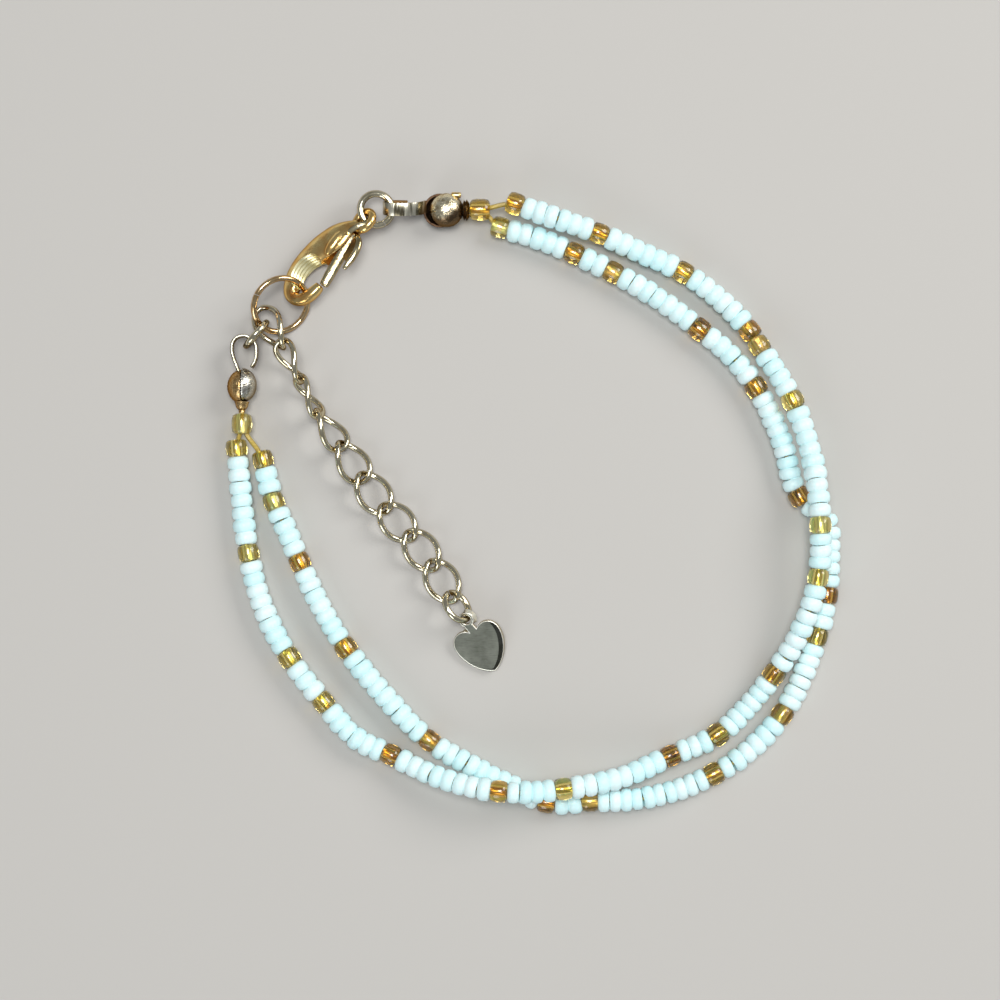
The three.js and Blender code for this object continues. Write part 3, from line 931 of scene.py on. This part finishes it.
def raised_rim(piece, plate, bright):
    """Insets the upper faces and lifts them, which leaves a slanting rim in the near-white finish, a
    painted highlight.
    """
    for finish in (plate, bright):
        piece.data.materials.append(finish)
    up = max(piece.data.polygons, key=lambda face: face.area * max(face.normal.z, 0)).normal.copy()
    upper = [face.index for face in piece.data.polygons if face.normal.dot(up) > SAME_FACING]
    edit(piece)
    bpy.ops.mesh.select_mode(type="FACE")
    bpy.ops.mesh.select_all(action="DESELECT")
    done()
    for face in piece.data.polygons:
        face.select = face.index in upper
        face.material_index = 0 if face.index in upper else 1
    bpy.ops.object.mode_set(mode="EDIT")
    bpy.ops.mesh.inset(thickness=RIM_WIDTH, depth=RIM_RISE)
    done()
    for face in piece.data.polygons:
        if not face.select:
            face.material_index = 1
    return up


def shaded_band(piece, up, finish):
    """A polished facet inside the rim, along the heart's right side, coloured near black as a painted dark
    reflection.
    """
    spots = {index for face in piece.data.polygons if face.material_index == 0 for index in face.vertices}
    rim = [piece.data.vertices[index].co for index in spots]
    middle = sum(rim, Vector()) / len(rim)
    curve = []
    for corner in rim:
        aside = corner - middle
        heading = math.degrees(math.atan2(aside.y, aside.x))
        if BAND_FROM < heading < BAND_TO and aside.length > OUTSIDE_THE_EYE:
            curve.append((heading, corner))
    curve.sort(key=lambda spot: spot[0])
    corners = []
    for number, (heading, corner) in enumerate(curve):
        share = number / (len(curve) - 1)
        inwards = (middle - corner).normalized() * BAND_WIDTH * math.sin(math.pi * share) ** 0.5
        corners += [corner + up * 0.004, corner + inwards + up * 0.012]
    faces = [(i, i + 1, i + 3, i + 2) for i in range(0, len(corners) - 2, 2)]
    band = built("heart_band", corners, faces)
    tidy(band)
    modifier(band, "SOLIDIFY", thickness=BAND_THICKNESS, offset=0)
    band.data.materials.append(finish)
    return band


heart = bench_copy("heart_drop", "heart_plate")
edit(heart)
bpy.ops.mesh.dissolve_limited(angle_limit=math.radians(2))
done()
shrink_eye(heart, HEART_EYE_SHARE)
facing_up = raised_rim(heart, HEART_PLATE_PAINTED_DARK, RIM_PAINTED_HIGHLIGHT)
heart_band = shaded_band(heart, facing_up, HEART_DARK_REFLECTION)
modifier(
    heart, "BEVEL", width=0.03, segments=2, limit_method="ANGLE", angle_limit=math.radians(35),
    use_clamp_overlap=True, material=1,
)
smooth(heart, 25)
modifier(heart, "WEIGHTED_NORMAL", keep_sharp=True, weight=100)
heart = joined("heart_plate", [heart, heart_band])
finish_piece(from_bench(heart), None, ["heart_drop"])


# %% [markdown]
# ## Knot covers
#
# A knot cover is two small cups, hinged at the thread and closed over the knot like a clam.
# A strap grows from one cup and is bent into a loop round a ring. Each cup is half of a
# sphere with a wall, so the seam between the two shows as a dark line.

# %% Cups and strap
BALL_RADIUS = 1.7
CUP_WALL = 0.22
SEAM = 0.12
SHALLOW = 0.86
COLLAR_HOLE = 0.2
COLLAR_SIDES = 24
STRAP_WIDTH = 1.3
STRAP_THICKNESS = 0.26
STRAP_STRIDE = 4


def cup(name, side, slip=0.0):
    """One cup of a knot cover, open towards the seam and pushed along by its slip."""
    bpy.ops.mesh.primitive_uv_sphere_add(segments=36, ring_count=18, radius=BALL_RADIUS)
    piece = bpy.context.object
    piece.name = name
    edit(piece)
    bpy.ops.mesh.bisect(
        plane_co=(0, side * SEAM / 2, 0), plane_no=(0, side, 0), clear_inner=True,
    )
    bpy.ops.mesh.select_all(action="SELECT")
    bpy.ops.transform.resize(value=(1, SHALLOW, 1), center_override=(0, 0, 0))
    bpy.ops.transform.translate(value=(slip, 0, 0))
    done()
    modifier(piece, "SOLIDIFY", thickness=CUP_WALL, offset=-1)
    rounded(piece, 0.05)
    smooth(piece, 50)
    return piece


def strap(name, rows):
    """A flat strap bent along a line on the bench's XY plane."""
    line = Line([Vector((x, y, 0)) for x, y in rows])
    corners = []
    for corner in line.corners[::STRAP_STRIDE] + [line.corners[-1]]:
        corners += [(corner.x, corner.y, side * STRAP_WIDTH / 2) for side in (-1, 1)]
    faces = [(i, i + 2, i + 3, i + 1) for i in range(0, len(corners) - 2, 2)]
    piece = built(name, corners, faces)
    tidy(piece)
    modifier(piece, "SOLIDIFY", thickness=STRAP_THICKNESS, offset=0)
    rounded(piece, 0.07)
    smooth(piece, 40)
    return piece


def collar(name, radii, start, step):
    """The hinge end of the cups round the thread: rings of these radii, one step apart."""
    profile = [(COLLAR_HOLE, start)]
    profile += [(radius, start + step * number) for number, radius in enumerate(radii)]
    profile += [(COLLAR_HOLE, start + step * (len(radii) - 1))]
    piece = turned(name, profile, COLLAR_SIDES)
    piece.data.transform(Matrix.Rotation(math.radians(-90), 4, "Y"))
    smooth(piece, 50)
    return piece


def knob(name, place, radius, length):
    """A small rolled lug, where a cup was folded over its hinge."""
    bpy.ops.mesh.primitive_cylinder_add(
        vertices=20, radius=radius, depth=length, location=place,
        rotation=(0, math.radians(90), 0),
    )
    piece = bpy.context.object
    piece.name = name
    rounded(piece, 0.12, 3)
    smooth(piece, 40)
    return settled(piece)


# %% [markdown]
# The two covers differ as hand-closed ones do. On the clasp's side the lower cup has slipped
# along, and on the ring's side the strap is bent round further. Each strap is given by the
# bends of its middle line, and each collar by its radii, its start and the step between rings.

# %% The two knot covers
STRAPS = {
    "clasp": [(2.1, -0.3), (2.55, 0.5), (3.2, 1.05), (4.0, 1.25), (5.0, 1.25), (5.85, 1.0), (6.2, 0.4),
              (5.85, -0.25), (5.0, -0.45), (3.9, -0.3)],
    "ring": [(1.2, 0.2), (1.9, 0.45), (2.8, 0.8), (3.8, 1.0), (4.6, 0.8), (5.05, 0.1),
             (4.95, -0.6), (4.4, -1.25), (3.3, -1.45), (2.4, -1.25), (1.9, -0.95)],
}
STRAP_TILTS = {"clasp": -18, "ring": 0}
STRAP_ASIDE = {"clasp": 0.3, "ring": 0.0}
HEADINGS = {"clasp": 180, "ring": 90}
TURNS = {"clasp": 90, "ring": 0}
SLIPS = {"clasp": 0.66, "ring": 0.16}
COLLARS = {
    "clasp": ((0.70, 1.06, 0.84, 1.12, 0.88, 0.70), 1.60, 0.135),
    "ring": ((0.74, 0.66, 0.62, 0.52, 0.30, 0.34), 1.50, 0.21),
}
CUP_FINISHES = {"clasp": (COVER_GOLD, CUP_SHADE), "ring": (CUP_BROWN, CUP_SILVER)}
COLLAR_FINISHES = {"clasp": COVER_GOLD, "ring": CUP_BROWN}
STRAP_FINISHES = {"clasp": STRAP_GOLD, "ring": HOOK_GOLD}

for end in ("clasp", "ring"):
    cups = [cup("cup_upper", 1), cup("cup_lower", -1, SLIPS[end]), collar("collar", *COLLARS[end])]
    if end == "clasp":
        cups.append(knob("knob", (-0.95, 0.35, 1.46), 0.3, 0.95))
    for piece, finish in zip(cups, (*CUP_FINISHES[end], COLLAR_FINISHES[end], CLASP_GOLD)):
        piece.data.materials.append(finish)
    place = (
        Matrix.Translation(ends[end]["ball"])
        @ Matrix.Rotation(math.radians(HEADINGS[end]), 4, "Z")
        @ Matrix.Rotation(math.radians(TURNS[end]), 4, "X")
    )
    cover = joined("knot_cover_" + end, cups)
    finish_piece(from_bench(cover, place), None, ["bead_tip_" + end])
    loop = strap("cover_strap_" + end, STRAPS[end])
    leaning = Matrix.Translation((0, 0, STRAP_ASIDE[end])) @ Matrix.Rotation(
        math.radians(STRAP_TILTS[end]), 4, "X"
    )
    finish_piece(from_bench(loop, place @ leaning), STRAP_FINISHES[end])


# %% [markdown]
# ## The clasp
#
# A lobster clasp is cast. Its body swells from a neck to a broad flank, narrows round the
# hook and ends in a blunt tip. A loft suits that: a row of rounded sections along the body's
# middle line, each with its own width and thickness, skinned and smoothed.

# %% Clasp body
CLASP_HEADING = 54.15
CLASP_ROLL = -31
lever_joint = frame["joints"][0]
CLASP_PLACE = (
    Matrix.Translation(Vector(lever_joint["pos_m"]) / MM)
    @ Matrix.Rotation(math.radians(CLASP_HEADING), 4, "Z")
    @ Matrix.Rotation(math.radians(CLASP_ROLL), 4, "X")
)
# Each section: x, y, half its width, half its thickness, and its bank in degrees.
CLASP_SECTIONS = [
    (1.85, 0.05, 0.40, 0.45, 0), (1.4, 0.15, 0.62, 0.70, 0), (0.75, 0.42, 1.02, 0.98, 0),
    (-0.1, 0.75, 1.50, 1.12, 0), (-1.15, 1.15, 1.76, 1.16, 0), (-2.65, 1.95, 1.64, 1.10, 2),
    (-4.3, 2.34, 1.60, 0.98, 6), (-5.8, 2.60, 1.36, 0.88, 10), (-7.1, 2.36, 1.08, 0.76, 12),
    (-8.0, 1.90, 0.80, 0.62, 8), (-8.22, 1.2, 0.66, 0.56, 4), (-7.95, 0.42, 0.64, 0.58, 0),
    (-7.3, -0.08, 0.64, 0.60, 0), (-6.5, -0.32, 0.62, 0.60, 0), (-5.85, -0.40, 0.56, 0.54, 0),
    (-5.58, -0.42, 0.42, 0.42, 0),
]


def lofted(name, sections, sides=16, squareness=2.6):
    """Rounded sections along a line in the XY plane, skinned into one closed body."""
    places = [Vector((x, y, 0)) for x, y, *_ in sections]
    corners = []
    for index, (_, _, half_width, half_thickness, bank) in enumerate(sections):
        before = places[max(index - 1, 0)]
        after = places[min(index + 1, len(places) - 1)]
        along = (after - before).normalized()
        lean = Matrix.Rotation(math.radians(bank), 3, along)
        across = lean @ Vector((-along.y, along.x, 0))
        upward = lean @ Vector((0, 0, 1))
        for side in range(sides):
            angle = math.tau * side / sides
            wide = math.copysign(abs(math.cos(angle)) ** (2 / squareness), math.cos(angle))
            high = math.copysign(abs(math.sin(angle)) ** (2 / squareness), math.sin(angle))
            corners.append(
                places[index] + across * wide * half_width + upward * high * half_thickness
            )
    faces = []
    for ring in range(len(sections) - 1):
        for side in range(sides):
            next_side = (side + 1) % sides
            here, there = ring * sides, (ring + 1) * sides
            faces.append((here + side, here + next_side, there + next_side, there + side))
    faces.append(tuple(range(sides)))
    faces.append(tuple(range((len(sections) - 1) * sides, len(sections) * sides)))
    piece = built(name, corners, faces)
    tidy(piece)
    modifier(piece, "SUBSURF", levels=2, render_levels=2)
    return piece


def prism(name, outline, thickness):
    """A flat block of an outline, centred on the bench's XY plane."""
    corners = [(x, y, -thickness / 2) for x, y in outline]
    piece = built(name, corners, [tuple(range(len(outline)))])
    edit(piece)
    bpy.ops.mesh.extrude_region_move(TRANSFORM_OT_translate={"value": (0, 0, thickness)})
    bpy.ops.mesh.select_all(action="SELECT")
    bpy.ops.mesh.normals_make_consistent(inside=False)
    done()
    return piece


def scoop(name, upper, lower, height, levels=17, sides=48, rib=0.035):
    """A tapered oval block with ribs round it, to carve the inside of the hook.

    Both ovals are (x, y, half length, half width).
    """
    corners = []
    for level in range(levels):
        share = level / (levels - 1)
        x, y, long, wide = (top + (foot - top) * share for top, foot in zip(upper, lower))
        ridge = rib if level % 2 else -rib
        for side in range(sides):
            angle = math.tau * side / sides
            corners.append((
                x + (long + ridge) * math.cos(angle), y + (wide + ridge) * math.sin(angle),
                height / 2 - height * share,
            ))
    faces = [tuple(range(sides)), tuple(range((levels - 1) * sides, levels * sides))]
    for level in range(levels - 1):
        for side in range(sides):
            here = level * sides + side
            beside = level * sides + (side + 1) % sides
            faces.append((here, beside, beside + sides, here + sides))
    piece = built(name, corners, faces)
    tidy(piece)
    return piece


# %% [markdown]
# Cast parts grow on the body: an eye, a raised band across the neck, and a cheek over each end
# of the pin. Then a slot is cut for the lever, and a ribbed oval block hollows out the hook.

# %% Eye, cheeks, slot and scoop
LEVER_SLOT = [
    (0.78, -1.5), (0.78, 0.3), (0.5, 0.8), (0, 1.0), (-1.5, 1.05), (-3.1, 1.4), (-4.4, 1.8),
    (-5.5, 1.9), (-5.5, -1.5),
]
SLOT_HEIGHT = 1.3
SCOOP_UPPER = (-5.35, 1.5, 2.0, 1.6)
SCOOP_LOWER = (-5.2, 0.8, 1.75, 1.15)
SCOOP_HEIGHT = 2.6
EYE_PLACE = (2.15, -0.15, 0)
EYE_LEAN = -14
NECK_BAND = [(0.2, 0.05, 0.62), (1.0, -0.28, 0.70), (1.8, -0.72, 0.50), (2.5, -1.0, 0.15)]
NECK_BAND_RADIUS = 0.3
CHEEK_PLACE = Vector((-1.35, 0.62, 0.78))
CHEEK_SIZE = Vector((1.55, 0.62, 0.52))


def cheek(face):
    """The swelling over the pin, above (1) or below (-1)."""
    bpy.ops.mesh.primitive_uv_sphere_add(segments=28, ring_count=14, radius=1)
    piece = bpy.context.object
    edit(piece)
    bpy.ops.transform.resize(value=CHEEK_SIZE, center_override=(0, 0, 0))
    bpy.ops.transform.translate(value=(CHEEK_PLACE.x, CHEEK_PLACE.y, face * CHEEK_PLACE.z))
    done()
    return piece


claw = lofted("clasp_claw", CLASP_SECTIONS)
bpy.ops.mesh.primitive_torus_add(
    major_radius=1.0, minor_radius=0.42, major_segments=40, minor_segments=16,
    location=EYE_PLACE, rotation=(math.radians(EYE_LEAN), 0, 0),
)
eye = bpy.context.object
neck_band = wire("neck_band", NECK_BAND, NECK_BAND_RADIUS)
claw.data.materials.append(CLASP_GOLD)
additions = ((eye, CLASP_GOLD), (neck_band, LEVER_GOLD), (cheek(1), CLASP_GOLD), (cheek(-1), CLASP_GOLD))
for added, finish in additions:
    combined(claw, added, finish, "UNION")
slot_block = prism("slot_block", LEVER_SLOT, SLOT_HEIGHT)
hook_scoop = scoop("hook_scoop", SCOOP_UPPER, SCOOP_LOWER, SCOOP_HEIGHT)
combined(claw, slot_block, CLASP_GOLD, "DIFFERENCE")
combined(claw, hook_scoop, RIB_GOLD, "DIFFERENCE")
smooth(claw, 35)
print("claw faces:", len(claw.data.polygons), "finishes:", len(claw.data.materials))
finish_piece(from_bench(claw, CLASP_PLACE), None, ["clasp_body"])

# %% [markdown]
# The lever is a small casting too: a bar that closes the hook, a curved fin for the thumb, and
# a thin web between them. The bar and the fin are lofts whose sections bank, so their tops
# face up while the clasp leans. The web is a thin plate.

# %% Clasp lever
LEVER_BAR = [
    (0.62, 0.02, 0.34, 0.28, -31), (0.3, -0.02, 0.50, 0.38, -31), (-1.2, -0.20, 0.58, 0.38, -31),
    (-3.2, -0.50, 0.56, 0.38, -31), (-5.1, -0.77, 0.52, 0.36, -31), (-5.54, -0.83, 0.46, 0.32, -31),
]
LEVER_FIN = [
    (0.40, -0.35, 0.28, 0.30, -20), (0.36, -0.85, 0.34, 0.34, -24), (0.0, -1.32, 0.36, 0.34, -28),
    (-0.9, -1.64, 0.37, 0.34, -31), (-1.9, -1.72, 0.34, 0.34, -31), (-2.75, -1.66, 0.28, 0.30, -31),
    (-3.0, -1.62, 0.18, 0.22, -31),
]
LEVER_WEB = [(0.5, 0.3), (0.5, -0.8), (0.0, -1.3), (-0.9, -1.5), (-2.3, -1.55), (-2.0, -0.6), (-1.0, 0.1)]
LEVER_WEB_THICKNESS = 0.3

lever = lofted("clasp_lever_arm", LEVER_BAR, 12, 3.5)
fin = lofted("lever_fin", LEVER_FIN, 12, 3.0)
web = prism("lever_web", LEVER_WEB, LEVER_WEB_THICKNESS)
lever.data.materials.append(LEVER_GOLD)
combined(lever, fin, LEVER_GOLD, "UNION")
combined(lever, web, WEB_SHADE, "UNION")
smooth(lever, 40)
finish_piece(from_bench(lever, CLASP_PLACE), None, ["clasp_lever"], "lever")

# %% [markdown]
# The pin that the lever turns on is hidden by the cheeks, so it is one plain rod.

# %% Clasp pin
PIN_RADIUS = 0.2
PIN_LENGTH = 2.0
bpy.ops.mesh.primitive_cylinder_add(vertices=20, radius=PIN_RADIUS, depth=PIN_LENGTH)
pin = bpy.context.object
pin.name = "clasp_pin"
rounded(pin, 0.04, angle=30)
smooth(pin, 40)
finish_piece(from_bench(pin, CLASP_PLACE), CLASP_GOLD)

# %% Models off the bench
for model in (WHITE_BEAD, AMBER_BEAD, LINING):
    bpy.data.objects.remove(model)

# %% [markdown]
# ## Floor, light and camera
#
# The camera looks almost straight down. Polished metal shows what is around it, so a few
# large soft lights with darker room between them give the bright and dark bands that small
# gold parts need.

# %% Floor
FLOOR_SIZE = 1.2
JUST_BELOW = -0.00002
bpy.ops.mesh.primitive_plane_add(size=FLOOR_SIZE, location=(0, 0, JUST_BELOW))
floor = bpy.context.object
floor.name = "floor"
floor_finish = Finish("pale_floor", Roughness=0.85, Base_Color=(0.52, 0.505, 0.48, 1.0))
floor.data.materials.append(floor_finish.material)


# %% Lights
def soft_light(name, place, size, power, tint=(1, 1, 1)):
    """A round soft light that faces the bracelet, its place in metres."""
    bpy.ops.object.light_add(type="AREA", location=place)
    light = bpy.context.object
    light.name = name
    light.data.shape = "DISK"
    light.data.size = size
    light.data.energy = power
    light.data.color = tint
    light.rotation_mode = "QUATERNION"
    light.rotation_quaternion = (-Vector(place)).to_track_quat("-Z", "Y")
    return light


soft_light("overhead", (-0.02, 0.05, 0.55), 0.22, 1.75, (1.0, 0.995, 0.98))
soft_light("window", (0.40, 0.26, 0.36), 0.34, 1.9, (1.0, 0.99, 0.97))
soft_light("fill", (-0.20, -0.48, 0.28), 0.30, 0.8, (0.93, 0.97, 1.0))

world = bpy.data.worlds.new("studio")
bpy.context.scene.world = world
world.use_nodes = True
background = world.node_tree.nodes["Background"]
background.inputs["Color"].default_value = (0.93, 0.96, 1.0, 1.0)
background.inputs["Strength"].default_value = 0.22
bpy.context.scene.view_settings.view_transform = "Standard"

# %% Camera
VIEW_WIDTH = 0.100
VIEW_CENTRE = (Vector((-3.1, 0.2, 0)) + ROWS_TO_FRAME) * MM
LENS = 85
SENSOR = 36
ELEVATION = 88
distance = VIEW_WIDTH * LENS / SENSOR
bpy.ops.object.camera_add()
camera = bpy.context.object
camera.data.lens = LENS
camera.data.sensor_width = SENSOR
camera.data.clip_start = 0.01
tilt = math.radians(90 - ELEVATION)
camera.location = VIEW_CENTRE + Vector((0, -math.sin(tilt), math.cos(tilt))) * distance
camera.rotation_euler = (tilt, 0, 0)
bpy.context.scene.camera = camera
